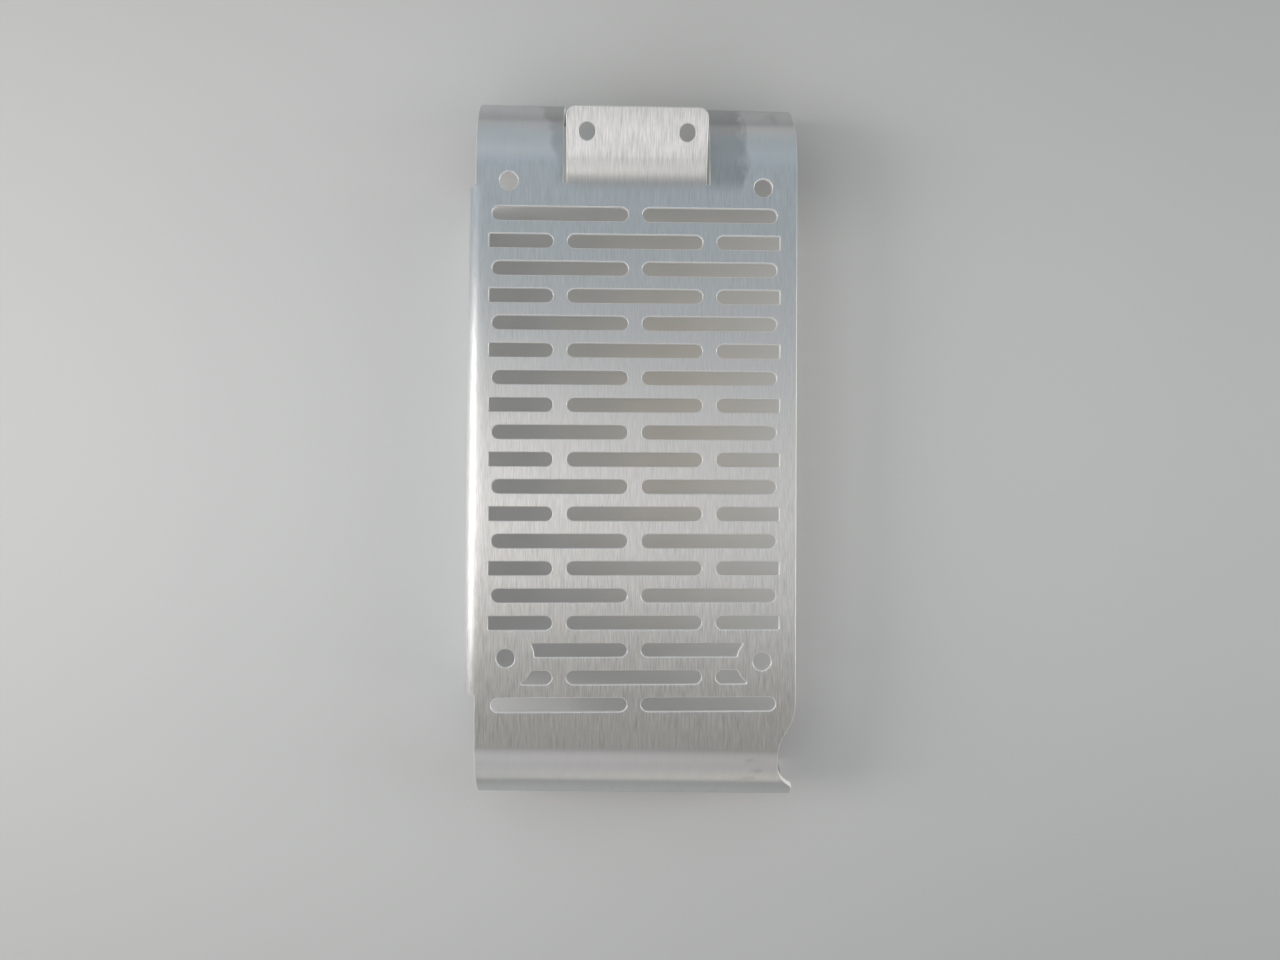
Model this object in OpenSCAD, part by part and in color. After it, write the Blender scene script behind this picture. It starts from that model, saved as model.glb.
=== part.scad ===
// Radiator guard: one laser-cut and folded aluminium sheet, lying face up.
// X runs across the guard, +Y towards the raised tab, +Z up out of the face.
// Millimetres. The shape is drawn from the middle of the slots, with the face's top at height 0,
// and is then set down so that the origin is under the middle of the whole guard.

/* [Sheet] */
// Thickness of the sheet
sheet_t = 2; // [1.5:0.1:2.5]
// Height of the face above what the guard lies on
depth = 38.4; // [37:0.2:42]

/* [Face] */
// Middle of the slots to the left edge
left_x = 58.4; // [56.6:0.2:62]
// Middle of the slots to the right edge
right_x = 59.8; // [58:0.2:64]

/* [Slots] */
// Rows of slots, an odd number
slot_rows = 19; // [11:2:19]
// Distance from one row to the next
row_pitch = 10; // [8:0.1:10.2]
// Width of a slot
slot_w = 5.2; // [4:0.2:6]
// Length of a full slot
slot_l = 49.8; // [40:0.2:50]
// Metal between two slots of a row
slot_gap = 5.2; // [4:0.2:6]
// Length of the half slots at the ends of every second row
half_slot_l = 23.4; // [12:0.2:24]

/* [Face holes] */
// Diameter of the four holes in the face
hole_d = 6.8; // [5:0.1:8]
// Distance between the two upper holes
upper_span = 93.6; // [80:0.2:96]
// Upper holes above the middle of the slots
upper_y = 101.1; // [100:0.1:103]
// Upper holes' middle to the right of the slots' middle
upper_shift = 0.4; // [0:0.1:1]
// Distance between the two lower holes
lower_span = 94.4; // [80:0.2:96]
// Lower holes below the middle of the slots
lower_y = 73.6; // [60:0.1:80]
// Lower holes' middle to the right of the slots' middle
lower_shift = 0.1; // [0:0.1:1]
// Turn of both pairs of holes away from the slots' rows
hole_skew = 0.9; // [0:0.1:1.2]
// Metal kept clear of slots round the lower left hole, as a radius
left_clear_r = 10.6; // [7:0.1:12]
// Metal kept clear of slots round the lower right hole, as a radius
right_clear_r = 9.5; // [7:0.1:12]

/* [Tab] */
// Width of the raised tab
tab_w = 51.4; // [44:0.2:56]
// Middle of the tab to the right of the slots' middle
tab_shift = 0.45; // [0:0.05:1]
// Bend line of the tab above the middle of the slots
tab_y = 101.5; // [100.8:0.1:104]
// Length of the tab from its bend line
tab_l = 26.6; // [22:0.2:30]
// Angle by which the tab rises
tab_angle = 21.2; // [5:0.1:40]
// Inside radius of the tab's bend
tab_bend_r = 10; // [2:0.5:14]
// Radius of the tab's corners
tab_corner_r = 3.4; // [1:0.2:6]
// Distance between the tab's two holes
tab_hole_span = 36.4; // [28:0.2:40]
// Tab holes' middle to the end of the tab
tab_hole_inset = 8.7; // [6:0.1:10]
// Width of a tab hole
tab_hole_w = 6; // [5:0.1:7]
// How much longer than wide a tab hole is
tab_hole_over = 0.4; // [0.2:0.1:2]
// Width of the relief slits beside the tab
slit_w = 1.25; // [0.8:0.05:2]
// How far the slits run below the tab's bend line
slit_over = 0.4; // [0:0.1:1]

/* [Side flange] */
// Bend line of the side flange to the left of the slots' middle
flange_x = 57.7; // [56.8:0.1:61]
// Top end of the flange above the middle of the slots
flange_top = 99.8; // [80:0.2:104]
// Bottom end of the flange below the middle of the slots
flange_bottom = 86.3; // [60:0.1:98]
// Inside radius of the flange's bend
flange_bend_r = 2; // [1:0.5:4]
// Turn of the flange's bend line away from the slots' columns
flange_skew = 0.5; // [0:0.1:0.8]

/* [Lower lip] */
// Bend line of the rolled lip below the middle of the slots
lip_y = 105.5; // [103:0.1:110]
// Outer radius of the rolled lip
lip_r = 22; // [21.5:0.1:26]
// Turn of the lip's bend line away from the slots' rows
lip_skew = 1; // [0:0.1:1.5]

/* [Ears] */
// Bend line of the rolled ears above the middle of the slots
ear_y = 108.1; // [106:0.1:112]
// Outer radius of the rolled ears
ear_r = 29.5; // [24:0.5:36]
// Turn of the ears' bend line away from the slots' rows
ear_skew = 0.4; // [0:0.1:1]

/* [Notch] */
// Depth of the notch in the right edge
notch_d = 6.6; // [4:0.1:9]
// Where the notch starts to be deepest, below the middle of the slots
notch_y = 110.1; // [108:0.1:111]
// Length over which the notch stays deepest
notch_flat = 1.5; // [1:0.1:4]
// Radius of the hollow ends of the notch
notch_r = 16; // [14:0.5:20]
// Radius that blends the top of the notch into the right edge
notch_blend_r = 20; // [12:0.5:24]
// Radius that blends the bottom of the notch into the right edge
notch_end_r = 6; // [3:0.5:8]

/* [Hidden] */
$fn = 96;

sheet_tone = [0.74, 0.75, 0.76];
// Small reach past a surface, so that a cut goes right through
past = 1;
// Flat metal of a bend that lies within the face
lead = 0.5;

flange_r = flange_bend_r + sheet_t;
flange_l = flange_top + flange_bottom;
flange_mid = (flange_top - flange_bottom) / 2;
hole_r = hole_d / 2;
slot_r = slot_w / 2;
tab_hole_r = tab_hole_w / 2;
tab_left = tab_shift - tab_w / 2;
tab_right = tab_shift + tab_w / 2;
slit_bottom = tab_y - slit_over;
// The part of the tab past its bend
tab_flat_l = tab_l - tab_bend_r * tab_angle * PI / 180;

// Angle through which a rolled end of outer radius r turns before it reaches the resting height
function roll_angle(r) = acos((r - depth) / (depth > r ? r : r - sheet_t));
lip_angle = roll_angle(lip_r);
ear_angle = roll_angle(ear_r);

// Height of row n above the middle of the slots, counted from the top row
function row_y(n) = ((slot_rows - 1) / 2 - n) * row_pitch;
// A pair of holes lies on a line turned by the skew: left end higher, right end lower
function pair_end(side, span, y, shift) =
    [shift + side * span / 2 * cos(hole_skew), y - side * span / 2 * sin(hole_skew)];
upper_left = pair_end(-1, upper_span, upper_y, upper_shift);
upper_right = pair_end(1, upper_span, upper_y, upper_shift);
lower_left = pair_end(-1, lower_span, -lower_y, lower_shift);
lower_right = pair_end(1, lower_span, -lower_y, lower_shift);

// Height of the lip's bend line at x, and of the ears' bend line at x
function lip_line(x) = -lip_y - x * tan(lip_skew);
function ear_line(x) = ear_y - x * tan(ear_skew);
// Place of the flange's bend line at height y
function flange_line(y) = -flange_x + (y - flange_mid) * tan(flange_skew);

// Corners of the box that holds the whole guard
box_left = -flange_x - flange_r * cos(flange_skew) - flange_l / 2 * sin(flange_skew);
box_bottom = lip_line(right_x) - lip_r / cos(lip_skew);
box_top = ear_line(-left_x) + ear_r / cos(ear_skew);
middle_x = (box_left + right_x) / 2;
middle_y = (box_bottom + box_top) / 2;

// The notch as it is cut in the flat sheet: x of its hollow's centre, and of its blend's centre
notch_left = right_x - notch_d;
notch_cx = notch_left + notch_r;
blend_cx = right_x - notch_blend_r;
blend_reach = notch_r + notch_blend_r;
blend_cy = -notch_y + sqrt(pow(blend_reach, 2) - pow(notch_cx - blend_cx, 2));
// Where the hollow and the blend touch
touch_y = -notch_y + (blend_cy + notch_y) * notch_r / blend_reach;
// Where the cut changes from straight down to square with the rolled lip
notch_turn_y = -notch_y - notch_flat;
notch_turn_angle = (lip_line(notch_left) - notch_turn_y) / lip_r * 180 / PI;
// Its lower blend: x of the centre, length from the turn, and how high it touches the hollow
end_cx = right_x - notch_end_r;
end_reach = notch_r + notch_end_r;
end_l = sqrt(pow(end_reach, 2) - pow(notch_cx - end_cx, 2));
end_touch = end_l * notch_end_r / end_reach;
end_angle = notch_turn_angle + end_l / 2 / lip_r * 180 / PI;
notch_turn_plan = lip_line(notch_left) - lip_r * sin(notch_turn_angle);

// A slot with both ends round, from x = 0 to x = length
module round_slot(length) {
    translate([slot_r, 0]) circle(slot_r);
    translate([length - slot_r, 0]) circle(slot_r);
    translate([slot_r, -slot_r]) square([length - slot_w, slot_w]);
}

// A half slot: round at x = 0 and square at the outer end
module half_slot() {
    translate([slot_r, 0]) circle(slot_r);
    translate([slot_r, -slot_r]) square([half_slot_l - slot_r, slot_w]);
}

module row_of_two() {
    for (side = [0, 1]) mirror([side, 0]) translate([slot_gap / 2, 0]) round_slot(slot_l);
}

module row_of_three() {
    translate([-slot_l / 2, 0]) round_slot(slot_l);
    for (side = [0, 1]) mirror([side, 0]) translate([slot_l / 2 + slot_gap, 0]) half_slot();
}

// Metal kept round a lower hole and from there out to the edge on its side
module kept_metal(hole, clear_r, outwards) {
    translate(hole) {
        circle(clear_r);
        translate([outwards > 0 ? 0 : -left_x, -clear_r]) square([left_x, 2 * clear_r]);
    }
}

module slot_row(n) {
    translate([0, row_y(n)]) if (n % 2 == 0) row_of_two(); else row_of_three();
}

module slots() {
    for (n = [0 : slot_rows - 1]) difference() {
        slot_row(n);
        if (abs(row_y(n) - lower_left.y) < left_clear_r) kept_metal(lower_left, left_clear_r, -1);
        if (abs(row_y(n) - lower_right.y) < right_clear_r) kept_metal(lower_right, right_clear_r, 1);
    }
}

module face_holes() {
    for (hole = [upper_left, upper_right, lower_left, lower_right]) translate(hole) circle(hole_r);
}

// Outline of the flat face, from the lip's bend line to the ears' and the tab's
module face_outline() {
    difference() {
        polygon([
            [-left_x, lip_line(-left_x)],
            [right_x, lip_line(right_x)],
            [right_x, ear_line(right_x)],
            [-left_x, ear_line(-left_x)],
            [-left_x, flange_top],
            [flange_line(flange_top), flange_top],
            [flange_line(-flange_bottom), -flange_bottom],
            [-left_x, -flange_bottom]
        ]);
        translate([tab_left, tab_y]) square([tab_w, ear_line(-left_x)]);
        for (x = [tab_left - slit_w, tab_right])
            translate([x, slit_bottom]) square([slit_w, ear_line(-left_x)]);
    }
}

module face() {
    translate([0, 0, -sheet_t]) linear_extrude(sheet_t) difference() {
        face_outline();
        slots();
        face_holes();
    }
}

// A straight run of sheet that leaves a bend of outer radius r at the given angle, towards forwards
// (1) or backwards (-1). It keys a little way into the bend, between its two faces.
module straight_run(r, angle, forwards, length) {
    out = [sin(angle), cos(angle)];
    along = forwards * [cos(angle), -sin(angle)];
    inner = (r - sheet_t) * out;
    polygon([r * out, r * out + length * along, inner + length * along, inner,
        (r - sheet_t / 2) * out - lead * along]);
}

// Section of a bend: a ring of outer radius r from straight up round to an angle on the +x side,
// with a short flat lead that lies within the face, and a straight tail after the bend
module bend_section(r, angle, tail) {
    steps = 4;
    difference() {
        intersection() {
            circle(r);
            polygon(concat([[0, 0]], [for (i = [0 : steps])
                2 * r * [sin(angle * i / steps), cos(angle * i / steps)]]));
        }
        circle(r - sheet_t);
    }
    straight_run(r, 0, -1, lead);
    if (tail > 0) straight_run(r, angle, 1, tail);
}

// A rolled end: its bend line is along X, it rolls down towards +Y, from x1 to x2
module rolled_end(r, angle, x1, x2) {
    translate([x1, 0, -r]) rotate([90, 0, 90]) linear_extrude(x2 - x1) bend_section(r, angle, 0);
}

// Ears either side of the tab, trimmed straight at the guard's edges and at the slits
module ears() {
    wide = left_x + right_x;
    intersection() {
        translate([0, ear_y, 0]) rotate([0, 0, -ear_skew]) rolled_end(ear_r, ear_angle, -wide, wide);
        for (span = [[-left_x, tab_left - slit_w], [tab_right + slit_w, right_x]])
            translate([span[0], 0, -depth - past])
                cube([span[1] - span[0], ear_y + 2 * ear_r, depth + 2 * past]);
    }
}

module lip() {
    wide = left_x + right_x;
    intersection() {
        translate([0, -lip_y, 0]) rotate([0, 0, -lip_skew]) mirror([0, 1, 0])
            rolled_end(lip_r, lip_angle, -wide, wide);
        translate([-left_x, -lip_y - 2 * lip_r, -depth - past])
            cube([left_x + right_x, lip_y + 2 * lip_r, depth + 2 * past]);
    }
}

// Upper part of the notch, cut straight down through the face and the start of the lip
module notch_above() {
    translate([0, 0, -sheet_t - past]) linear_extrude(sheet_t + 2 * past) {
        intersection() {
            translate([notch_cx, -notch_y]) circle(notch_r);
            translate([notch_left - past, -notch_y - lead]) square(2 * notch_r);
        }
        translate([notch_left, notch_turn_plan - lead])
            square([notch_r, -notch_y - notch_turn_plan + lead]);
        difference() {
            translate([blend_cx, touch_y]) square([notch_blend_r + past, blend_cy - touch_y]);
            translate([blend_cx, blend_cy]) circle(notch_blend_r);
        }
    }
}

// Lower part of the notch, cut square with the rolled lip
module notch_below() {
    shift_x = (-notch_turn_y - lip_y) * sin(lip_skew);
    // Reaches deeper than the sheet, which curves away below both ends of the cut
    cut_depth = 2 * sheet_t + past;
    translate([0, -lip_y, -lip_r]) rotate([0, 0, -lip_skew]) rotate([end_angle, 0, 0])
        translate([shift_x, -end_l / 2, lip_r - cut_depth]) linear_extrude(cut_depth + past) {
            intersection() {
                translate([notch_cx, end_l]) circle(notch_r);
                translate([notch_left, 0]) square([notch_r, end_l]);
            }
            difference() {
                translate([end_cx, 0]) square([notch_end_r + past, end_touch]);
                translate([end_cx, 0]) circle(notch_end_r);
            }
        }
}

// Side flange, folded straight down at its bend line
module side_flange() {
    translate([-flange_x, flange_mid, 0]) rotate([0, 0, -flange_skew])
        translate([0, flange_l / 2, -flange_r]) rotate([90, 0, 0]) linear_extrude(flange_l)
            mirror([1, 0]) bend_section(flange_r, 90, depth - flange_r);
}

// What is cut from the tab's flat part, with y = 0 where its bend ends: two holes and two corners
module tab_cuts() {
    for (side = [-1, 1]) {
        translate([tab_shift + side * tab_hole_span / 2, tab_flat_l - tab_hole_inset]) tab_hole();
        difference() {
            translate([tab_shift + side * tab_w / 2, tab_flat_l]) square(2 * tab_corner_r, center = true);
            translate([tab_shift + side * (tab_w / 2 - tab_corner_r), tab_flat_l - tab_corner_r])
                circle(tab_corner_r);
        }
    }
}

// A hole slightly longer than wide, along the tab
module tab_hole() {
    reach = tab_hole_over / 2;
    for (end = [-1, 1]) translate([0, end * reach]) circle(tab_hole_r);
    translate([-tab_hole_r, -reach]) square([tab_hole_w, 2 * reach]);
}

// The raised tab: its bend curls up, and its flat part follows
module tab() {
    outer_r = tab_bend_r + sheet_t;
    translate([0, tab_y, tab_bend_r]) difference() {
        translate([tab_left, 0, 0]) rotate([90, 0, 90]) linear_extrude(tab_w)
            mirror([0, 1]) bend_section(outer_r, tab_angle, tab_flat_l);
        rotate([tab_angle, 0, 0]) translate([0, 0, -outer_r - past])
            linear_extrude(sheet_t + 2 * past) tab_cuts();
    }
}

module guard_sheet() {
    color(sheet_tone) translate([-middle_x, -middle_y, depth]) difference() {
        union() {
            face();
            ears();
            lip();
            side_flange();
            tab();
        }
        notch_above();
        notch_below();
    }
}

guard_sheet();
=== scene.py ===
"""Radiator guard: one laser-cut and folded sheet of brushed aluminium, lying on a pale table.

The sheet is drawn flat first, as the blank that the laser cuts, with its slots, holes, slits and
notch. Its cut edges are slightly rounded, and the whole is then folded: lip, ears, side flange
and tab. The grain of the brushing is laid out on the flat blank, so that it follows the folds.
Sizes up to the fold are in millimetres.
"""

import math

import bpy
import numpy as np
from mathutils import Matrix, Vector
from mathutils.geometry import delaunay_2d_cdt


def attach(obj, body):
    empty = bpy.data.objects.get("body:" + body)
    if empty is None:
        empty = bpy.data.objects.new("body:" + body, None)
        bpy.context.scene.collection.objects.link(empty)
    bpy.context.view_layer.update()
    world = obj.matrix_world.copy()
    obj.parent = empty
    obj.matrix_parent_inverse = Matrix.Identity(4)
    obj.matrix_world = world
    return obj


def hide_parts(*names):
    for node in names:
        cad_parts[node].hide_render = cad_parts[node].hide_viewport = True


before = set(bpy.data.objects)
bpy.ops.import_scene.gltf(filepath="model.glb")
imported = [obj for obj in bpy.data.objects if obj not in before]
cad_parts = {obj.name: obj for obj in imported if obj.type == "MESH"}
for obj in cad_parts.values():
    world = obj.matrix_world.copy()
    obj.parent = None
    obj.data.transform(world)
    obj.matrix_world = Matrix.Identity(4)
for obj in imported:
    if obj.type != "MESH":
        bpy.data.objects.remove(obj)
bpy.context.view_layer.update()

# Sheet: its thickness, the height of its face over the table, and the face's sides
SHEET_T = 2.0
DEPTH = 38.4
LEFT_X, RIGHT_X = -58.4, 59.8

# Slots
SLOT_ROWS, ROW_PITCH = 19, 10.0
SLOT_W, SLOT_L, SLOT_GAP, HALF_SLOT_L = 5.2, 49.8, 5.2, 23.4
SLOT_R = SLOT_W / 2

# Face holes
HOLE_R = 3.4
HOLE_SKEW = math.radians(0.9)
UPPER_SPAN, UPPER_Y, UPPER_SHIFT = 93.6, 101.1, 0.4
LOWER_SPAN, LOWER_Y, LOWER_SHIFT = 94.4, -73.6, 0.1
LEFT_CLEAR_R, RIGHT_CLEAR_R = 10.6, 9.5

# Tab
TAB_W, TAB_SHIFT, TAB_Y, TAB_L = 51.4, 0.45, 101.5, 26.6
TAB_ANGLE, TAB_R, TAB_CORNER_R = math.radians(21.2), 10.0, 3.4
TAB_HOLE_SPAN, TAB_HOLE_INSET, TAB_HOLE_W, TAB_HOLE_OVER = 36.4, 8.7, 6.0, 0.4
SLIT_W, SLIT_OVER = 1.25, 0.4
TAB_LEFT, TAB_RIGHT = TAB_SHIFT - TAB_W / 2, TAB_SHIFT + TAB_W / 2

# Side flange
FLANGE_X, FLANGE_TOP, FLANGE_BOTTOM = -57.7, 99.8, -86.3
FLANGE_R, FLANGE_SKEW = 4.0, math.radians(0.5)
FLANGE_MID, FLANGE_L = (FLANGE_TOP + FLANGE_BOTTOM) / 2, FLANGE_TOP - FLANGE_BOTTOM

# Rolled lip and ears
LIP_Y, LIP_R, LIP_SKEW = -105.5, 22.0, math.radians(1.0)
EAR_Y, EAR_R, EAR_SKEW = 108.1, 29.5, math.radians(0.4)

# Notch in the right edge
NOTCH_D, NOTCH_Y, NOTCH_FLAT, NOTCH_R, NOTCH_BLEND_R, NOTCH_END_R = 6.6, -110.1, 1.5, 16.0, 20.0, 6.0

# Rounding of the cut edges, and of the blank's corners
EDGE_R = 0.3
CORNER_R = 0.5

# In the shading alone, the face bows towards the flange over this width, up to this tilt at the bend
BOW_W, BOW_TILT = 4.2, math.radians(8.0)

# In the shading alone, the tab's bend starts this far before its bend line and ends this far past it,
# and it rises over this width from each side of the tab
TAB_EARLY, TAB_LATE, TAB_SIDE = 5.0, 12.0, 5.0

# How strongly the brushing shows: from the tab's root to its flat, from a roll's root to its curve over
# this width, and from the face's lower part to its upper one between these heights
TAB_BRUSH = (0.6, 1.5)
ROLL_BRUSH, ROLL_FADE = (0.6, 0.1), 2.0
FACE_BRUSH, FACE_FADE = (1.3, 0.55), (-110, 60)

# Longest steps along the cut edges, on the bends and on the flat face
BEND_STEP, FLAT_STEP = 1.6, 12.0

# Rows of points across each bend, and how far they keep from the cut edges
LIP_ROWS, EAR_ROWS, FLANGE_ROWS, TAB_ROWS = 36, 28, 11, 7
ROW_CLEAR = 0.7

# Places closer than this count as one
TOUCH = 0.01


def roll_angle(r):
    """Angle through which a rolled end turns before it reaches the table."""
    return math.acos((r - DEPTH) / (r if DEPTH > r else r - SHEET_T))


LIP_ANGLE, EAR_ANGLE = roll_angle(LIP_R), roll_angle(EAR_R)

# Where the middle of the guard's box lies, so that the blank can be set down in the frame
BOX_LEFT = FLANGE_X - FLANGE_R * math.cos(FLANGE_SKEW) - FLANGE_L / 2 * math.sin(FLANGE_SKEW)
BOX_BOTTOM = LIP_Y - RIGHT_X * math.tan(LIP_SKEW) - LIP_R / math.cos(LIP_SKEW)
BOX_TOP = EAR_Y - LEFT_X * math.tan(EAR_SKEW) + EAR_R / math.cos(EAR_SKEW)
MIDDLE_X, MIDDLE_Y = (BOX_LEFT + RIGHT_X) / 2, (BOX_BOTTOM + BOX_TOP) / 2


class Fold:
    """A bend of the blank: straight line, turn angle and radius of the top surface."""

    def __init__(self, origin, along, out, radius, angle, up=False):
        self.origin, self.along, self.out = np.array(origin), np.array(along), np.array(out)
        self.radius, self.angle, self.up = radius, angle, up

    def local(self, x, y):
        d = np.array([x, y]) - self.origin
        return d @ self.along, d @ self.out

    def blank(self, u, w):
        return tuple(self.origin + u * self.along + w * self.out)

    def place(self, u, w, h):
        """Point, surface normal and outward direction of a blank point at depth h in the sheet."""
        a = min(w / self.radius, self.angle)
        rest = w - self.radius * a
        sign = 1.0 if self.up else -1.0
        r = self.radius - sign * h
        reach = r * math.sin(a) + rest * math.cos(a)
        height = sign * (self.radius - r * math.cos(a) + rest * math.sin(a))
        flat = self.origin + u * self.along + reach * self.out
        point = (flat[0], flat[1], height)
        normal = (*(-sign * math.sin(a) * self.out), math.cos(a))
        tangent = (*(math.cos(a) * self.out), sign * math.sin(a))
        return np.array(point), np.array(normal), np.array(tangent)


def skewed(angle, down):
    """Directions along and out of a bend line that is turned clockwise by an angle."""
    along = (math.cos(angle), -math.sin(angle))
    out = (math.sin(angle), math.cos(angle))
    return along, (-out[0], -out[1]) if down else out


LIP = Fold((0, LIP_Y), *skewed(LIP_SKEW, True), LIP_R, LIP_ANGLE)
EARS = Fold((0, EAR_Y), *skewed(EAR_SKEW, False), EAR_R, EAR_ANGLE)
TAB = Fold((0, TAB_Y), (1, 0), (0, 1), TAB_R, TAB_ANGLE, up=True)
FLANGE = Fold(
    (FLANGE_X, FLANGE_MID),
    (math.sin(FLANGE_SKEW), math.cos(FLANGE_SKEW)),
    (-math.cos(FLANGE_SKEW), math.sin(FLANGE_SKEW)),
    FLANGE_R,
    math.pi / 2,
)
LIP_L, EAR_L = LIP_R * LIP_ANGLE, EAR_R * EAR_ANGLE
FLANGE_BEND = FLANGE_R * math.pi / 2
FLANGE_REACH = FLANGE_BEND + DEPTH - FLANGE_R


def fold_of(x, y):
    """The bend on which a blank point lies, with its place along and past the bend line."""
    if TAB_LEFT - TOUCH <= x <= TAB_RIGHT + TOUCH:
        if y > TAB_Y:
            return TAB, TAB.local(x, y)
    elif y > TAB_Y:
        u, w = EARS.local(x, y)
        if w > 0:
            return EARS, (u, w)
    u, w = LIP.local(x, y)
    if w > 0:
        return LIP, (u, w)
    u, w = FLANGE.local(x, y)
    if w > 0 and abs(u) <= FLANGE_L / 2 + TOUCH:
        return FLANGE, (u, w)
    return None, None


def bowed(w):
    """Normal of the sheet at distance w past the flange's bend line, where the metal starts to bow early."""
    if w < 0:
        tilt = BOW_TILT * (1 + w / BOW_W) ** 2
    else:
        tilt = BOW_TILT + (math.pi / 2 - BOW_TILT) * min(1.0, w / FLANGE_BEND)
    return np.array((*(math.sin(tilt) * FLANGE.out), math.cos(tilt)))


def eased(value, low, high):
    """0 below low and 1 above high, with a smooth rise between."""
    t = min(1.0, max(0.0, (value - low) / (high - low)))
    return t * t * (3 - 2 * t)


def between(ends, share):
    """A value on the way from the first to the second of two."""
    return ends[0] + (ends[1] - ends[0]) * share


def tab_normal(x, w):
    """Normal at distance w past the tab's bend line, where the bend runs out softly into the face."""
    tilt = TAB_ANGLE * eased(w, -TAB_EARLY, TAB_LATE)
    if w < 0:
        tilt *= eased(TAB_W / 2 - abs(x - TAB_SHIFT), 0, TAB_SIDE)
    return np.array((0, -math.sin(tilt), math.cos(tilt)))


def folded(x, y, h):
    """Folds one blank point: place, normal, and the directions that blank x and y turn into."""
    fold, place = fold_of(x, y)
    u, w = FLANGE.local(x, y)
    beside_flange = -BOW_W < w and abs(u) <= FLANGE_L / 2
    if fold is None:
        before_tab = abs(x - TAB_SHIFT) < TAB_W / 2 and y > TAB_Y - TAB_EARLY
        normal = tab_normal(x, y - TAB_Y) if before_tab else np.array((0, 0, 1.0))
        normal = bowed(w) if beside_flange else normal
        return np.array((x, y, h)), normal, np.array((1.0, 0, 0)), np.array((0, 1.0, 0))
    point, normal, tangent = fold.place(*place, h)
    if fold is FLANGE:
        normal = bowed(w)
    elif fold is TAB:
        normal = tab_normal(x, place[1])
    along = np.array((*fold.along, 0.0))
    # blank x and y in terms of the bend's own two directions
    ex = fold.along[0] * along + fold.out[0] * tangent
    ey = fold.along[1] * along + fold.out[1] * tangent
    return point, normal, ex, ey


# The blank's outlines: each is a closed list of points, the outer one anticlockwise, holes clockwise


def arc(cx, cy, r, start, end, steps):
    """Points of an arc, angles in degrees."""
    return [
        (cx + r * math.cos(math.radians(a)), cy + r * math.sin(math.radians(a)))
        for a in np.linspace(start, end, steps + 1)
    ]


def soften(points, radius, steps=4):
    """Rounds the marked corners of a closed outline. Each point is (x, y) or (x, y, True) for a corner."""
    out = []
    n = len(points)
    for i, p in enumerate(points):
        if len(p) < 3:
            out.append(p)
            continue
        here = np.array(p[:2])
        to_last = np.array(points[i - 1][:2]) - here
        to_next = np.array(points[(i + 1) % n][:2]) - here
        a, b = to_last / np.linalg.norm(to_last), to_next / np.linalg.norm(to_next)
        half = math.acos(max(-1.0, min(1.0, float(a @ b)))) / 2
        bisector = (a + b) / np.linalg.norm(a + b)
        centre = here + bisector * radius / math.sin(half)
        first = here + a * radius / math.tan(half) - centre
        last = here + b * radius / math.tan(half) - centre
        a0, a1 = math.atan2(first[1], first[0]), math.atan2(last[1], last[0])
        turn = (a1 - a0 + math.pi) % (2 * math.pi) - math.pi
        for k in range(steps + 1):
            t = a0 + turn * k / steps
            out.append((centre[0] + radius * math.cos(t), centre[1] + radius * math.sin(t)))
    return out


def clean(points, least=0.02):
    """Drops points that repeat the one before."""
    out = []
    for p in points:
        if not out or math.dist(p, out[-1]) > least:
            out.append(tuple(map(float, p)))
    if math.dist(out[0], out[-1]) <= least:
        out.pop()
    return out


def area(points):
    """Area within a loop, negative where it runs clockwise."""
    x, y = np.array(points).T
    return 0.5 * float(np.sum(x * np.roll(y, -1) - np.roll(x, -1) * y))


def turned(points, anticlockwise):
    """The same loop, run in the wanted direction."""
    return points if (area(points) > 0) == anticlockwise else points[::-1]


def divided(points):
    """Splits long edges: finely on the bends, coarsely elsewhere."""
    out = []
    n = len(points)
    for i, p in enumerate(points):
        q = points[(i + 1) % n]
        out.append(p)
        middle = ((p[0] + q[0]) / 2, (p[1] + q[1]) / 2)
        on_bend = any(fold_of(*s)[0] is not None for s in (p, middle, q))
        parts = math.ceil(math.dist(p, q) / (BEND_STEP if on_bend else FLAT_STEP))
        for k in range(1, parts):
            t = k / parts
            out.append((p[0] + (q[0] - p[0]) * t, p[1] + (q[1] - p[1]) * t))
    return out


def rolled_side(fold, edge_x, length, backwards=False):
    """The side of a rolled end, which stays at one x all the way round the roll."""
    steps = 30
    points = []
    for k in range(steps + 1):
        w = length * k / steps
        reach = fold.radius * math.sin(w / fold.radius)
        u = (edge_x - reach * fold.out[0]) / fold.along[0]
        points.append(fold.blank(u, w))
    return points[::-1] if backwards else points


def notch_edge():
    """The notch, from its upper blend with the right edge down to its lower one."""
    hollow_x = RIGHT_X - NOTCH_D + NOTCH_R
    turn_y = NOTCH_Y - NOTCH_FLAT

    def blend(radius):
        """Where a blend's centre lies across, how far along from the hollow's, and their angle of touch."""
        x, reach = RIGHT_X - radius, NOTCH_R + radius
        return x, math.sqrt(reach**2 - (hollow_x - x) ** 2), math.degrees(math.acos((hollow_x - x) / reach))

    top_x, top_far, top_touch = blend(NOTCH_BLEND_R)
    end_x, end_far, end_touch = blend(NOTCH_END_R)
    points = arc(top_x, NOTCH_Y + top_far, NOTCH_BLEND_R, 0, -top_touch, 12)
    points += arc(hollow_x, NOTCH_Y, NOTCH_R, 180 - top_touch, 180, 10)
    points += arc(hollow_x, turn_y, NOTCH_R, 180, 180 + end_touch, 14)
    points += arc(end_x, turn_y - end_far, NOTCH_END_R, end_touch, 0, 8)
    return points


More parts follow.
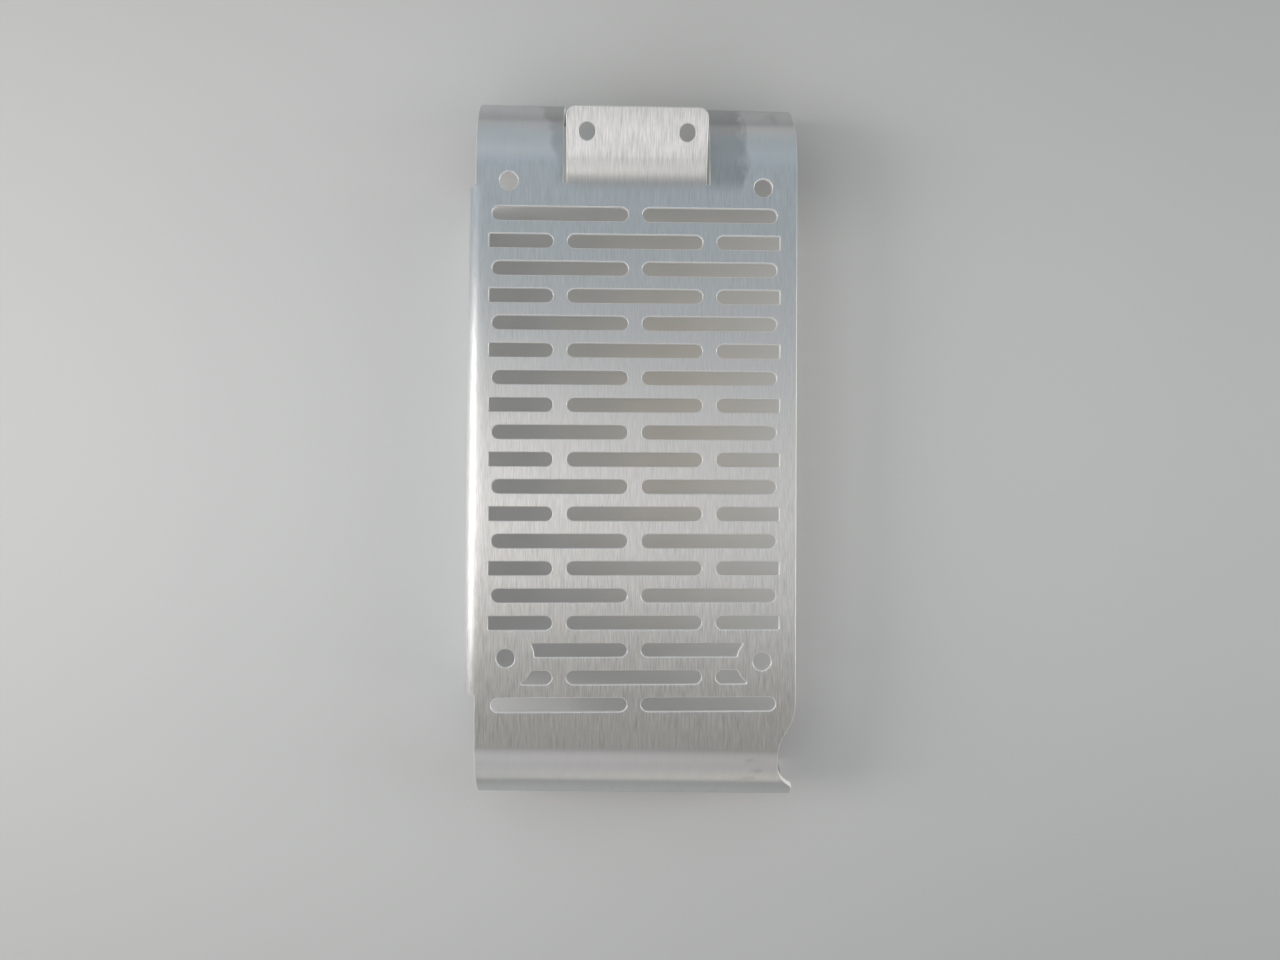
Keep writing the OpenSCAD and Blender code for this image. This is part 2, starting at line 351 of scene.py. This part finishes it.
def outline():
    """Outer edge of the blank, clockwise from the foot of the tab's right slit."""
    slit_left, slit_right = TAB_LEFT - SLIT_W, TAB_RIGHT + SLIT_W
    slit_y = TAB_Y - SLIT_OVER
    right_ear = rolled_side(EARS, slit_right, EAR_L)
    right_ear_out = rolled_side(EARS, RIGHT_X, EAR_L, backwards=True)
    left_ear = rolled_side(EARS, LEFT_X, EAR_L)
    left_ear_in = rolled_side(EARS, slit_left, EAR_L, backwards=True)
    lip_right = rolled_side(LIP, RIGHT_X, LIP_L)
    lip_left = rolled_side(LIP, LEFT_X, LIP_L, backwards=True)
    notch = notch_edge()
    least_step = 0.3
    below = [p for p in lip_right if p[1] < notch[-1][1] - least_step]

    def corner(p):
        return (p[0], p[1], True)

    def flange_corner(u, w):
        return corner(FLANGE.blank(u, w))

    def flange_root(u):
        """Where an end of the flange meets the left edge."""
        w = (FLANGE_X + u * math.sin(FLANGE_SKEW) - LEFT_X) / math.cos(FLANGE_SKEW)
        return flange_corner(u, w)

    half = FLANGE_L / 2
    points = [corner((TAB_RIGHT, slit_y)), corner((slit_right, slit_y))]
    points += right_ear[:-1] + [corner(right_ear[-1])]
    points += [corner(right_ear_out[0])] + right_ear_out[1:]
    points += notch + below[:-1] + [corner(below[-1])]
    points += [corner(lip_left[0])] + lip_left[1:]
    points += [flange_root(-half), flange_corner(-half, FLANGE_REACH)]
    points += [flange_corner(half, FLANGE_REACH), flange_root(half)]
    points += left_ear[:-1] + [corner(left_ear[-1])]
    points += [corner(left_ear_in[0])] + left_ear_in[1:]
    points += [corner((slit_left, slit_y)), corner((TAB_LEFT, slit_y))]
    top = TAB_Y + TAB_L
    points += arc(TAB_LEFT + TAB_CORNER_R, top - TAB_CORNER_R, TAB_CORNER_R, 180, 90, 12)
    points += arc(TAB_RIGHT - TAB_CORNER_R, top - TAB_CORNER_R, TAB_CORNER_R, 90, 0, 12)
    return points


def on_side(points, side):
    """Points drawn for the right half, mirrored where the side is -1."""
    return [(side * p[0], *p[1:]) for p in points]


def round_slot(x1, x2, y):
    return arc(x2 - SLOT_R, y, SLOT_R, 90, -90, 16) + arc(x1 + SLOT_R, y, SLOT_R, 270, 90, 16)


def half_slot(side, y):
    """Half slot: round inner end, square outer end."""
    inner, outer = SLOT_L / 2 + SLOT_GAP, SLOT_L / 2 + SLOT_GAP + HALF_SLOT_L
    points = arc(inner + SLOT_R, y, SLOT_R, 270, 90, 16)
    points += [(outer, y + SLOT_R, True), (outer, y - SLOT_R, True)]
    return on_side(points, side)


def pair_end(side, span, y, shift):
    """Middle of one hole of a pair, whose line is turned from the slots' rows."""
    return (shift + side * span / 2 * math.cos(HOLE_SKEW), y - side * span / 2 * math.sin(HOLE_SKEW))


UPPER_HOLES = [pair_end(s, UPPER_SPAN, UPPER_Y, UPPER_SHIFT) for s in (-1, 1)]
LOWER_HOLES = [pair_end(s, LOWER_SPAN, LOWER_Y, LOWER_SHIFT) for s in (-1, 1)]


def row_y(n):
    return ((SLOT_ROWS - 1) / 2 - n) * ROW_PITCH


def trimmed(x_inner, y, hole, clear_r, side):
    """A slot whose outer end is cut off by the metal kept round a lower hole."""
    hx, hy = side * hole[0], hole[1]
    # The curve's own points keep this far from the two corners, which are rounded later
    top_room, bottom_room = 1.1, 1.4

    def end(yy):
        """Where the slot ends at height yy, counted outwards from the middle."""
        return (hx - math.sqrt(clear_r**2 - (yy - hy) ** 2), float(yy))

    top, bottom = y + SLOT_R, y - SLOT_R
    points = arc(x_inner + SLOT_R, y, SLOT_R, 270, 90, 16)
    points += [(*end(top), True)]
    points += [end(v) for v in np.linspace(top - top_room, bottom + bottom_room, 5)]
    points += [(*end(bottom), True)]
    return on_side(points, side)


def slot_loops():
    """All slots: rows of two full ones, and between them rows of one full slot and two half ones."""
    loops = []
    for n in range(SLOT_ROWS):
        y = row_y(n)
        two_full = n % 2 == 0
        inner = SLOT_GAP / 2 if two_full else SLOT_L / 2 + SLOT_GAP
        if not two_full:
            loops.append(round_slot(-SLOT_L / 2, SLOT_L / 2, y))
        for side, hole, clear_r in ((-1, LOWER_HOLES[0], LEFT_CLEAR_R), (1, LOWER_HOLES[1], RIGHT_CLEAR_R)):
            if abs(y - hole[1]) < clear_r - SLOT_R:
                loops.append(trimmed(inner, y, hole, clear_r, side))
            elif two_full:
                loops.append(on_side(round_slot(inner, inner + SLOT_L, y), side))
            else:
                loops.append(half_slot(side, y))
    return loops


def hole_loops():
    """The face's four round holes, and the tab's two, which are slightly longer than wide."""
    loops = [arc(x, y, HOLE_R, 0, 360, 40)[:-1] for x, y in UPPER_HOLES + LOWER_HOLES]
    reach, r = TAB_HOLE_OVER / 2, TAB_HOLE_W / 2
    y = TAB_Y + TAB_L - TAB_HOLE_INSET
    for side in (-1, 1):
        x = TAB_SHIFT + side * TAB_HOLE_SPAN / 2
        loops.append(arc(x, y + reach, r, 0, 180, 20) + arc(x, y - reach, r, 180, 360, 20))
    return loops


def blank_loops():
    """All loops of the blank, corners rounded and edges divided, the outer one first."""
    loops = [turned(divided(clean(soften(outline(), CORNER_R))), True)]
    for points in slot_loops() + hole_loops():
        loops.append(turned(divided(clean(soften(points, CORNER_R))), False))
    return [np.array(l) for l in loops]


# The sheet's mesh


def outwards(loop):
    """Direction out of the metal at each point, and how much longer the mitre there is than its edges.

    The metal lies on the left of the loop.
    """
    ahead = np.roll(loop, -1, axis=0) - loop
    ahead /= np.linalg.norm(ahead, axis=1)[:, None]
    right = np.stack([ahead[:, 1], -ahead[:, 0]], axis=1)
    total = right + np.roll(right, 1, axis=0)
    unit = total / np.linalg.norm(total, axis=1)[:, None]
    stretch = 1.0 / np.maximum(0.5, np.sum(unit * right, axis=1))
    return unit, stretch[:, None]


def inside(points, loops):
    """Even-odd test of many points against all loops together."""
    x, y = points[:, 0][:, None], points[:, 1][:, None]
    odd = np.zeros(len(points), dtype=bool)
    for loop in loops:
        ax, ay = loop[:, 0], loop[:, 1]
        bx, by = np.roll(ax, -1), np.roll(ay, -1)
        spans = (ay > y) != (by > y)
        with np.errstate(divide="ignore", invalid="ignore"):
            cross = ax + (y - ay) * (bx - ax) / (by - ay)
        odd ^= (np.sum(spans & (x < cross), axis=1) % 2).astype(bool)
    return odd


def ruling_rows(loops):
    """Rows of points that keep the triangles straight across each bend.

    Rows may reach beyond the blank: a point outside the metal or close to an edge becomes None.
    """
    rows = []
    step, lip_step = 3.0, 4.0
    beyond = 65.0

    def add(fold, u0, u1, ws, step_u=step):
        count = int((u1 - u0) / step_u)
        for w in ws:
            rows.append([fold.blank(u, w) for u in np.linspace(u0, u1, count)])

    add(LIP, -beyond, beyond, np.linspace(0, LIP_L, LIP_ROWS)[:-1], lip_step)
    for start, end in ((-beyond, TAB_LEFT - SLIT_W), (TAB_RIGHT + SLIT_W, beyond)):
        add(EARS, start, end, np.linspace(0, EAR_L, EAR_ROWS)[:-1])
    before_flange = [-share * BOW_W for share in (0.85, 0.6, 0.3)]
    add(FLANGE, -FLANGE_L / 2, FLANGE_L / 2, before_flange)
    add(FLANGE, -FLANGE_L / 2, FLANGE_L / 2, np.linspace(0, FLANGE_BEND, FLANGE_ROWS))
    before_tab = [-share * TAB_EARLY for share in (1, 0.7, 0.4, 0.15)]
    after_tab = [share * TAB_LATE for share in (0.6, 0.8, 1)]
    add(TAB, TAB_LEFT, TAB_RIGHT, before_tab)
    add(TAB, TAB_LEFT, TAB_RIGHT, np.linspace(0, TAB_R * TAB_ANGLE, TAB_ROWS))
    add(TAB, TAB_LEFT, TAB_RIGHT, after_tab)

    edges = np.concatenate(loops)
    kept_rows = []
    for row in rows:
        points = np.array(row)
        within = inside(points, loops)
        near = np.array([np.min(np.sum((edges - p) ** 2, axis=1)) for p in points]) < ROW_CLEAR**2
        kept = within & ~near
        kept_rows.append([tuple(p) if keep else None for p, keep in zip(points, kept)])
    return kept_rows


def add_triangles(loops):
    """Points and triangles of the flat surface within the loops, and how many points are the loops' own."""
    points, edges = [], []
    for loop in loops:
        first = len(points)
        points += [tuple(p) for p in loop]
        n = len(loop)
        edges += [(first + i, first + (i + 1) % n) for i in range(n)]
    rim_count = len(points)
    for row in ruling_rows(loops):
        last = None
        for p in row:
            if p is None:
                last = None
                continue
            points.append(p)
            if last is not None:
                edges.append((last, len(points) - 1))
            last = len(points) - 1
    verts, _, faces, origins, _, _ = delaunay_2d_cdt([Vector(p) for p in points], edges, [], 0, 1e-6)
    if len(verts) != len(points):
        print("triangulation merged or added points:", len(points), "->", len(verts))
    renamed = [o[0] for o in origins]
    coords = np.array([points[r] for r in renamed])
    tris = np.array([f for f in faces if len(f) == 3])
    middles = coords[tris].mean(axis=1)
    tris = tris[inside(middles, loops)]
    tris = np.array(renamed)[tris]
    p = np.array(points)
    a, b, c = p[tris[:, 0]], p[tris[:, 1]], p[tris[:, 2]]
    flip = np.cross(b - a, c - a) < 0
    tris[flip] = tris[flip][:, ::-1]
    return p, tris, rim_count


def brush_strength(x, y):
    """How strongly the brushing shows: most on the tab, fading up the face, nearly none on the rolls."""
    fold, place = fold_of(x, y)
    if fold is TAB:
        return between(TAB_BRUSH, eased(place[1], 0, TAB_LATE))
    if fold in (LIP, EARS):
        return between(ROLL_BRUSH, eased(place[1], 0, ROLL_FADE))
    return between(FACE_BRUSH, eased(y, *FACE_FADE))


def build_sheet():
    """Mesh of the folded sheet, with rounded cut edges and its flat layout kept as an attribute."""
    loops = blank_loops()
    rims = [outwards(l) for l in loops]
    inner = [l - unit * stretch * EDGE_R for l, (unit, stretch) in zip(loops, rims)]
    flat, tris, rim_count = add_triangles(inner)

    place, normals, layout, across, rim_share, brushing = [], [], [], [], [], []

    def add(x, y, h, tip, out):
        """One point: tip is how far its normal has turned from the surface to the cut wall."""
        point, normal, ex, ey = folded(x, y, h)
        side = out[0] * ex + out[1] * ey
        turned_normal = math.cos(tip) * normal + math.sin(tip) * side
        place.append(point)
        normals.append(turned_normal)
        layout.append((x, y, h))
        across.append(ex)
        rim_share.append(abs(math.sin(tip)))
        brushing.append(brush_strength(x, y))
        return len(place) - 1

    top = [add(x, y, 0.0, 0.0, (0, 0)) for x, y in flat]
    under = [add(x, y, -SHEET_T, math.pi, (0, 0)) for x, y in flat]
    faces = [(top[a], top[b], top[c]) for a, b, c in tris]
    faces += [(under[c], under[b], under[a]) for a, b, c in tris]

    # The rounded cut edge, as turn of the normal and depth in the sheet, from the top to the underside
    turns = [math.radians(t) for t in (30, 60, 90)]
    edge = [(t, -EDGE_R * (1 - math.cos(t))) for t in turns]
    edge += [(math.pi - t, -SHEET_T - h) for t, h in reversed(edge)]

    first = 0
    for loop, (unit, stretch) in zip(loops, rims):
        n = len(loop)
        rings = [top[first : first + n]]
        for tip, h in edge:
            points = loop - unit * stretch * EDGE_R * (1 - math.sin(tip))
            rings.append([add(*points[i], h, tip, unit[i]) for i in range(n)])
        rings.append(under[first : first + n])
        for upper, lower in zip(rings, rings[1:]):
            for i in range(n):
                j = (i + 1) % n
                faces.append((upper[i], lower[i], lower[j], upper[j]))
        first += n
    assert first == rim_count

    shift = np.array((-MIDDLE_X, -MIDDLE_Y, DEPTH))
    coords = (np.array(place) + shift) / 1000
    mesh = bpy.data.meshes.new("guard_sheet_folded")
    mesh.from_pydata(coords.tolist(), [], faces)
    mesh.update()
    store = mesh.attributes.new("blank", "FLOAT_VECTOR", "POINT")
    store.data.foreach_set("vector", np.array(layout, dtype=np.float32).ravel())
    store = mesh.attributes.new("across", "FLOAT_VECTOR", "POINT")
    store.data.foreach_set("vector", np.array(across, dtype=np.float32).ravel())
    for name, share in (("rim", rim_share), ("brush", brushing)):
        store = mesh.attributes.new(name, "FLOAT", "POINT")
        store.data.foreach_set("value", np.array(share, dtype=np.float32))
    mesh.shade_smooth()
    mesh.normals_split_custom_set_from_vertices([tuple(n / np.linalg.norm(n)) for n in normals])
    mesh.validate()
    sheet = bpy.data.objects.new("guard_sheet_folded", mesh)
    bpy.context.scene.collection.objects.link(sheet)
    return sheet


# Materials


class Nodes:
    """Small helper that adds and wires shader nodes."""

    def __init__(self, owner):
        owner.use_nodes = True
        self.tree = owner.node_tree
        self.tree.nodes.clear()

    def add(self, kind, inputs=None, **settings):
        node = self.tree.nodes.new(kind)
        for key, value in settings.items():
            setattr(node, key, value)
        for key, value in (inputs or {}).items():
            if isinstance(value, bpy.types.NodeSocket):
                self.tree.links.new(value, node.inputs[key])
            else:
                node.inputs[key].default_value = value
        return node

    def math(self, operation, a, b=0.0):
        return self.add("ShaderNodeMath", {0: a, 1: b}, operation=operation).outputs[0]

    def total(self, terms):
        """Sum of (value, weight) pairs."""
        result = None
        for value, weight in terms:
            part = self.math("MULTIPLY", value, weight)
            result = part if result is None else self.math("ADD", result, part)
        return result

    def ramp(self, value, low, high, out_low=0.0, out_high=1.0, smooth=True):
        node = self.add(
            "ShaderNodeMapRange",
            {"Value": value, "From Min": low, "From Max": high, "To Min": out_low, "To Max": out_high},
            interpolation_type="SMOOTHSTEP" if smooth else "LINEAR",
        )
        return node.outputs["Result"]

    def noise(self, vector, scale, detail=2.0, roughness=0.5, seed=0.0):
        node = self.add(
            "ShaderNodeTexNoise",
            {"Vector": vector, "W": seed, "Scale": scale, "Detail": detail, "Roughness": roughness},
            noise_dimensions="4D",
        )
        return node.outputs["Fac"]

    def stretched(self, vector, factors):
        return self.add(
            "ShaderNodeVectorMath", {0: vector, 1: factors}, operation="MULTIPLY"
        ).outputs["Vector"]

    def blob(self, x, y, centre, width):
        """A soft round or oval patch of value 1 at its centre."""
        parts = []
        for value, c, w in ((x, centre[0], width[0]), (y, centre[1], width[1])):
            off = self.math("DIVIDE", self.math("SUBTRACT", value, c), w)
            parts.append(self.math("MULTIPLY", off, off))
        return self.math("EXPONENT", self.math("MULTIPLY", self.math("ADD", *parts), -1.0))

    def mix(self, factor, a, b, blend="MIX"):
        node = self.add("ShaderNodeMix", {"Factor": factor}, data_type="RGBA", blend_type=blend)
        for key, value in ((6, a), (7, b)):
            if isinstance(value, bpy.types.NodeSocket):
                self.tree.links.new(value, node.inputs[key])
            else:
                node.inputs[key].default_value = (*value, 1.0)
        return node.outputs[2]

    def grey(self, value):
        channels = {"Red": value, "Green": value, "Blue": value}
        return self.add("ShaderNodeCombineColor", channels).outputs["Color"]

    def surface(self, shader, output="ShaderNodeOutputMaterial"):
        """Ends the tree with a shader."""
        self.add(output, {"Surface": shader.outputs[0]})


# Painted shade on the ears beside the tab, where the tab shadows them and mirrors darkly in them: how ragged
# the patches are, how deeply they and the smudges darken the metal, and where each fades away on the blank
PATCH_RAGGED, SMUDGE_AND_SHADE_DEPTH = 18.0, 0.3
RIGHT_TAB_SHADE_X, RIGHT_TAB_SHADE_Y = (42, 38), (97, 104)
LEFT_TAB_SHADE_X, LEFT_TAB_SHADE_Y, LEFT_TAB_SHADE_SLANT, LEFT_TAB_SHADE_SHARE = (-8, -3), (99, 106), 0.21, 0.75

# Small smudges, three at the lip's right end and one on the right ear: middle and reach on the blank
SMUDGES = [
    ((43.8, -111), (1.6, 0.8)),
    ((47, -115.5), (2.2, 1.0)),
    ((43, -119), (2.0, 1.2)),
    ((51, 132), (3, 4)),
]
SMUDGE_SHARE = 0.5

# The sheet's metal, and its bright cut edges
METAL_COLOUR, CUT_COLOUR = (0.695, 0.70, 0.715), (0.97, 0.97, 0.96)
METAL_ROUGHNESS, CUT_ROUGHNESS = 0.4, 0.5
CUT_METALLIC = 0.3

# Brushing: depth of the streaks in colour, in roughness and in relief
STREAK_DEPTH, STREAK_ROUGHNESS, STREAK_RELIEF = 0.22, 0.2, 0.35
BRUSH_ANISOTROPY = 0.9

# Painted sheen: the tab's flat is drawn a little brighter, standing in for the light its tilt catches, where
# the brushing is strongest, up to this height on the blank
TAB_SHEEN_LIFT, TAB_SHEEN_BRUSH, TAB_SHEEN_END = 0.18, (1.3, 1.5), (129, 119)


def smudges_and_tab_shade(n, blank):
    """Share of darkening on the blank: painted shade of the tab as a cloud on each ear beside it, and a few
    small smudges of dirt.
    """
    split = n.add("ShaderNodeSeparateXYZ", {"Vector": blank})
    x, y = split.outputs["X"], split.outputs["Y"]
    cloud = n.noise(n.stretched(blank, (0.13, 0.08, 1.0)), 1.0, 3.0, 0.55, seed=9.0)
    edge_x = n.math("ADD", x, n.math("MULTIPLY", n.math("SUBTRACT", cloud, 0.5), PATCH_RAGGED))
    # Painted shade of the tab on the right ear
    right = n.math("MULTIPLY", n.ramp(edge_x, *RIGHT_TAB_SHADE_X), n.ramp(x, TAB_RIGHT - 1, TAB_RIGHT))
    right = n.math("MULTIPLY", right, n.ramp(y, *RIGHT_TAB_SHADE_Y))
    # Painted shade of the tab on the left ear, leaning with the ear
    lean = n.math("ADD", edge_x, n.math("MULTIPLY", y, LEFT_TAB_SHADE_SLANT))
    left = n.math("MULTIPLY", n.ramp(lean, *LEFT_TAB_SHADE_X), n.ramp(x, TAB_LEFT + 1, TAB_LEFT))
    left = n.math("MULTIPLY", left, n.ramp(y, *LEFT_TAB_SHADE_Y))
    spots = [(n.blob(edge_x, y, place, reach), SMUDGE_SHARE) for place, reach in SMUDGES]
    return n.total([(right, 1.0), (left, LEFT_TAB_SHADE_SHARE)] + spots)


def brushed_sheet():
    """Aluminium brushed along the blank's y, with streaks of three widths, painted shade from the tab on the
    ears, small smudges, a painted sheen on the tab and bright cut edges.
    """
    material = bpy.data.materials.new("brushed_sheet")
    n = Nodes(material)
    blank = n.add("ShaderNodeAttribute", attribute_name="blank").outputs["Vector"]
    across = n.add("ShaderNodeAttribute", attribute_name="across").outputs["Vector"]
    rim = n.add("ShaderNodeAttribute", attribute_name="rim").outputs["Fac"]
    brush = n.add("ShaderNodeAttribute", attribute_name="brush").outputs["Fac"]
    blank_y = n.add("ShaderNodeSeparateXYZ", {"Vector": blank}).outputs["Y"]

    fine = n.noise(n.stretched(blank, (3.0, 0.14, 1.0)), 1.0, 3.0, 0.6, seed=1.0)
    coarse = n.noise(n.stretched(blank, (1.1, 0.12, 1.0)), 1.0, 3.0, 0.6, seed=5.0)
    blotch = n.noise(n.stretched(blank, (0.4, 0.10, 1.0)), 1.0, 2.0, 0.5, seed=7.0)
    grain = n.total([(fine, 0.6), (coarse, 0.23), (blotch, 0.17)])
    streak = n.ramp(grain, 0.37, 0.63, -STREAK_DEPTH, STREAK_DEPTH, smooth=False)

    tone = n.math("ADD", 1.0, n.math("MULTIPLY", streak, brush))
    # Painted shade from the tab, together with the real smudges, darkens the brushed tone
    dirt_and_shade = n.math("MULTIPLY", smudges_and_tab_shade(n, blank), SMUDGE_AND_SHADE_DEPTH)
    tone = n.math("MULTIPLY", tone, n.math("SUBTRACT", 1.0, dirt_and_shade))
    # Painted sheen that brightens the tab's flat
    tab_sheen = n.ramp(brush, *TAB_SHEEN_BRUSH, 0.0, TAB_SHEEN_LIFT, smooth=False)
    tab_sheen = n.math("MULTIPLY", tab_sheen, n.ramp(blank_y, *TAB_SHEEN_END))
    tone = n.math("MULTIPLY", tone, n.math("ADD", 1.0, tab_sheen))
    colour = n.mix(1.0, METAL_COLOUR, n.grey(tone), "MULTIPLY")
    colour = n.mix(n.ramp(rim, 0.3, 0.8), colour, CUT_COLOUR)

    rough = n.math("SUBTRACT", METAL_ROUGHNESS, n.math("MULTIPLY", streak, STREAK_ROUGHNESS))
    rough = n.math("ADD", rough, n.math("MULTIPLY", rim, CUT_ROUGHNESS - METAL_ROUGHNESS))
    metallic = n.ramp(rim, 0.0, 1.0, 1.0, CUT_METALLIC, smooth=False)
    bump = n.add("ShaderNodeBump", {"Height": grain, "Strength": STREAK_RELIEF, "Distance": 0.0001})
    shader = n.add(
        "ShaderNodeBsdfPrincipled",
        {
            "Base Color": colour,
            "Metallic": metallic,
            "Roughness": rough,
            "Anisotropic": BRUSH_ANISOTROPY,
            "Normal": bump.outputs["Normal"],
            "Tangent": across,
        },
    )
    n.surface(shader)
    return material


# The table: its tone, how much a painted pool of light lifts it left of the middle, how much painted shade
# darkens it under the tab, and cloudy all over
TABLE_TONE, PAINTED_LIGHT_LIFT, TAB_PAINTED_SHADE, TABLE_CLOUD = 0.46, 0.25, 0.18, 0.02
# The table's roughness, and the colour of the painted shade that darkens and warms it under the guard
TABLE_ROUGHNESS, UNDER_GUARD_SHADE_COLOUR = 0.7, (0.92, 0.87, 0.80)


def table_top():
    """A pale table, lit by a painted pool of light left of the middle, with painted shade under the tab and
    warmer painted shade under the guard.
    """
    material = bpy.data.materials.new("table_top")
    n = Nodes(material)
    place = n.add("ShaderNodeTexCoord").outputs["Object"]
    split = n.add("ShaderNodeSeparateXYZ", {"Vector": place})
    x, y = split.outputs["X"], split.outputs["Y"]
    cloud = n.noise(place, 6.0, 3.0, 0.5, seed=2.0)
    # Painted pool of light, lightening the table left of the middle
    painted_light_pool = n.blob(x, y, (-0.08, 0.01), (0.35, 0.24))
    # Painted shade on the table under the tab
    shade_under_tab = n.blob(x, y, (0.02, 0.12), (0.06, 0.03))
    # Painted shade on the table under the guard
    shade_under_guard = n.blob(x, y, (0.02, 0.02), (0.045, 0.10))
    tone = n.total([(1.0, TABLE_TONE), (painted_light_pool, PAINTED_LIGHT_LIFT), (shade_under_tab, -TAB_PAINTED_SHADE), (cloud, TABLE_CLOUD)])
    # The painted shade under the guard darkens and warms the table's tone
    shade_tint = n.mix(shade_under_guard, (1, 1, 1), UNDER_GUARD_SHADE_COLOUR)
    colour = n.mix(1.0, shade_tint, n.grey(tone), "MULTIPLY")
    n.surface(n.add("ShaderNodeBsdfPrincipled", {"Base Color": colour, "Roughness": TABLE_ROUGHNESS}))
    return material


# Table, room, lights and camera


def add_table():
    mesh = bpy.data.meshes.new("table_top")
    half = 1.6
    corners = [(-half, -half, 0), (half, -half, 0), (half, half, 0), (-half, half, 0)]
    mesh.from_pydata(corners, [], [(0, 1, 2, 3)])
    table = bpy.data.objects.new("table_top", mesh)
    bpy.context.scene.collection.objects.link(table)
    mesh.materials.append(table_top())


def softbox(name, place, target, size, power, colour=(1, 1, 1)):
    """A square of light, looking at a target. Places in metres."""
    data = bpy.data.lights.new(name, "AREA")
    data.shape = "RECTANGLE"
    data.size, data.size_y = size
    data.energy = power
    data.color = colour
    lamp = bpy.data.objects.new(name, data)
    lamp.location = place
    lamp.rotation_euler = (Vector(target) - Vector(place)).to_track_quat("-Z", "Y").to_euler()
    bpy.context.scene.collection.objects.link(lamp)


def add_room():
    """A room with pale walls and a dark ceiling, its right side lighter and warmer than its left.

    Directions are told by two angles in degrees: `along`, from -90 at the front wall over 0 at the
    zenith to 90 at the back wall, and `aside`, from the left to the right.
    """
    world = bpy.data.worlds.new("soft_room")
    n = Nodes(world)
    toward = n.add("ShaderNodeSeparateXYZ", {"Vector": n.add("ShaderNodeTexCoord").outputs["Generated"]})
    up = n.math("MAXIMUM", toward.outputs["Z"], 0.001)
    along = n.math("MULTIPLY", n.math("ARCSINE", toward.outputs["Y"]), 180 / math.pi)
    aside = n.math("MULTIPLY", n.math("ARCTAN2", toward.outputs["X"], up), 180 / math.pi)
    right = n.ramp(aside, -50, 50, smooth=False)
    front_ceiling, front_wall = n.ramp(along, -14, -28), n.ramp(along, -45, -90)
    back_ceiling, back_wall = n.ramp(along, 7.0, 13.5), n.ramp(along, 45, 90)
    skylight = n.math("MULTIPLY", n.blob(along, 0.0, (-10, 0), (10, 1)), right)

    light = None
    for mask, colour in (
        (front_ceiling, (0.30, 0.33, 0.40)),
        (n.math("MULTIPLY", front_ceiling, right), (0.27, 0.18, 0.04)),
        (front_wall, (0.41, 0.41, 0.33)),
        (back_ceiling, (0.25, 0.41, 0.51)),
        (n.math("MULTIPLY", back_ceiling, right), (0.24, 0.10, 0.0)),
        (back_wall, (0.28, 0.18, 0.10)),
        (skylight, (0.46, 0.44, 0.38)),
    ):
        part = n.add("ShaderNodeVectorMath", {0: colour, "Scale": mask}, operation="SCALE").outputs["Vector"]
        if light is not None:
            part = n.add("ShaderNodeVectorMath", {0: light, 1: part}, operation="ADD").outputs["Vector"]
        light = part
    shade = n.add("ShaderNodeBackground", {"Color": light, "Strength": 1.0})
    n.surface(shade, "ShaderNodeOutputWorld")
    bpy.context.scene.world = world


def add_lights():
    """The room and its soft windows. The key stands where the bright middle of the face mirrors it."""
    add_room()
    middle, large = (0, 0, 0), (1.0, 1.0)
    away, tilt_x, tilt_y = 1.25, math.radians(-27), math.radians(-1.7)
    key = (math.tan(tilt_x) * away, math.tan(tilt_y) * away, away)
    softbox("key_left", key, middle, (0.21, 0.40), 0.74, (1, 0.93, 0.84))
    softbox("window_left", (-0.85, -0.01, 0.55), middle, (0.42, 0.5), 3.7, (1, 0.97, 0.93))
    softbox("window_left_back", (-0.7, 0.65, 0.6), middle, large, 1.7, (1, 0.85, 0.74))
    softbox("window_left_front", (-0.7, -0.65, 0.6), middle, large, 1.7, (1, 0.98, 0.92))
    softbox("window_right", (0.85, 0, 0.55), middle, (0.5, 0.5), 1.0, (0.75, 0.88, 1))
    softbox("low_right", (1.0, 0, 0.25), middle, (0.5, 0.3), 3.3, (1, 0.94, 0.87))


def add_camera():
    """The photograph's camera, solved from the slots' regular grid, with lengths in millimetres."""
    focal_px, width_px = 1050.0, 1280.0
    turn = [math.radians(a) for a in (-0.03, 2.21, -0.19)]
    rotation = (
        Matrix.Rotation(turn[2], 3, "Z") @ Matrix.Rotation(turn[1], 3, "Y") @ Matrix.Rotation(turn[0], 3, "X")
    )
    offset = Vector((-1.97, 7.51, -385.48))
    place = -(rotation.transposed() @ offset)
    data = bpy.data.cameras.new("camera")
    data.sensor_width = 36.0
    data.lens = data.sensor_width * focal_px / width_px
    data.clip_start, data.clip_end = 0.01, 20
    camera = bpy.data.objects.new("camera", data)
    world = rotation.transposed().to_4x4()
    world.translation = (place + Vector((-MIDDLE_X, -MIDDLE_Y, DEPTH))) / 1000
    camera.matrix_world = world
    bpy.context.scene.collection.objects.link(camera)
    bpy.context.scene.camera = camera


def main():
    bpy.context.scene.view_settings.view_transform = "Standard"
    sheet = build_sheet()
    sheet.data.materials.append(brushed_sheet())
    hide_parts("guard_sheet")
    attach(sheet, "root")
    add_table()
    add_lights()
    add_camera()


main()
bpy.context.view_layer.update()
